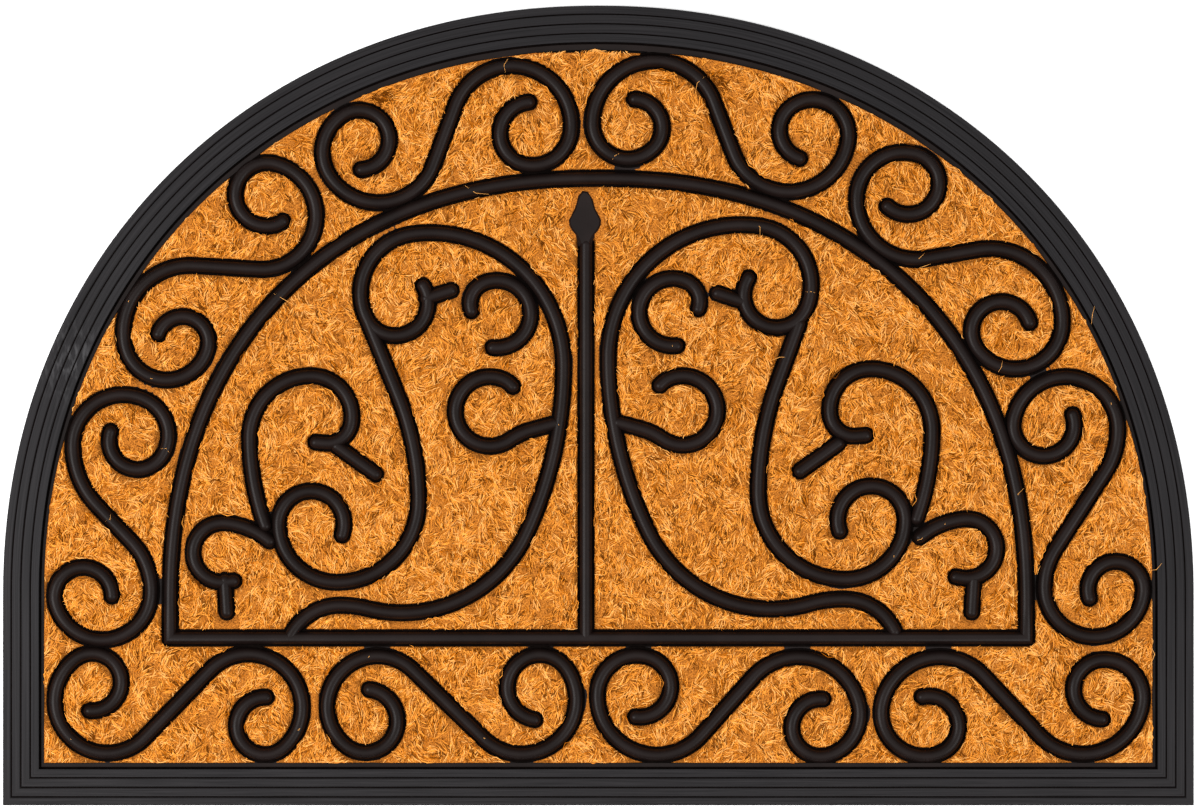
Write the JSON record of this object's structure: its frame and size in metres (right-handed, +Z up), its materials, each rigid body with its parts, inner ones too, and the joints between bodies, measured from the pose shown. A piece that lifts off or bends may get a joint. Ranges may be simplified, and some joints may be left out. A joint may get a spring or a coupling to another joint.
{
  "type": "half round doormat",
  "caption": "Half round doormat: a black rubber moulding with a ridged border and scrollwork bars standing in a panel of golden coir.",
  "frame": {"origin": "centre of the mat's bounding box, on its underside", "axes": "+X along the straight edge, +Y from the straight edge towards the round edge, +Z up out of the floor"},
  "size_m": [0.6, 0.403, 0.01],
  "materials": {
    "rubber": "black moulded rubber, satin beads, matte ridged border",
    "coir": "golden brown coir fibre, rough"
  },
  "bodies": {
    "root": {"rubber_moulding": "rubber", "coir_panel": "coir"}
  },
  "joints": []
}
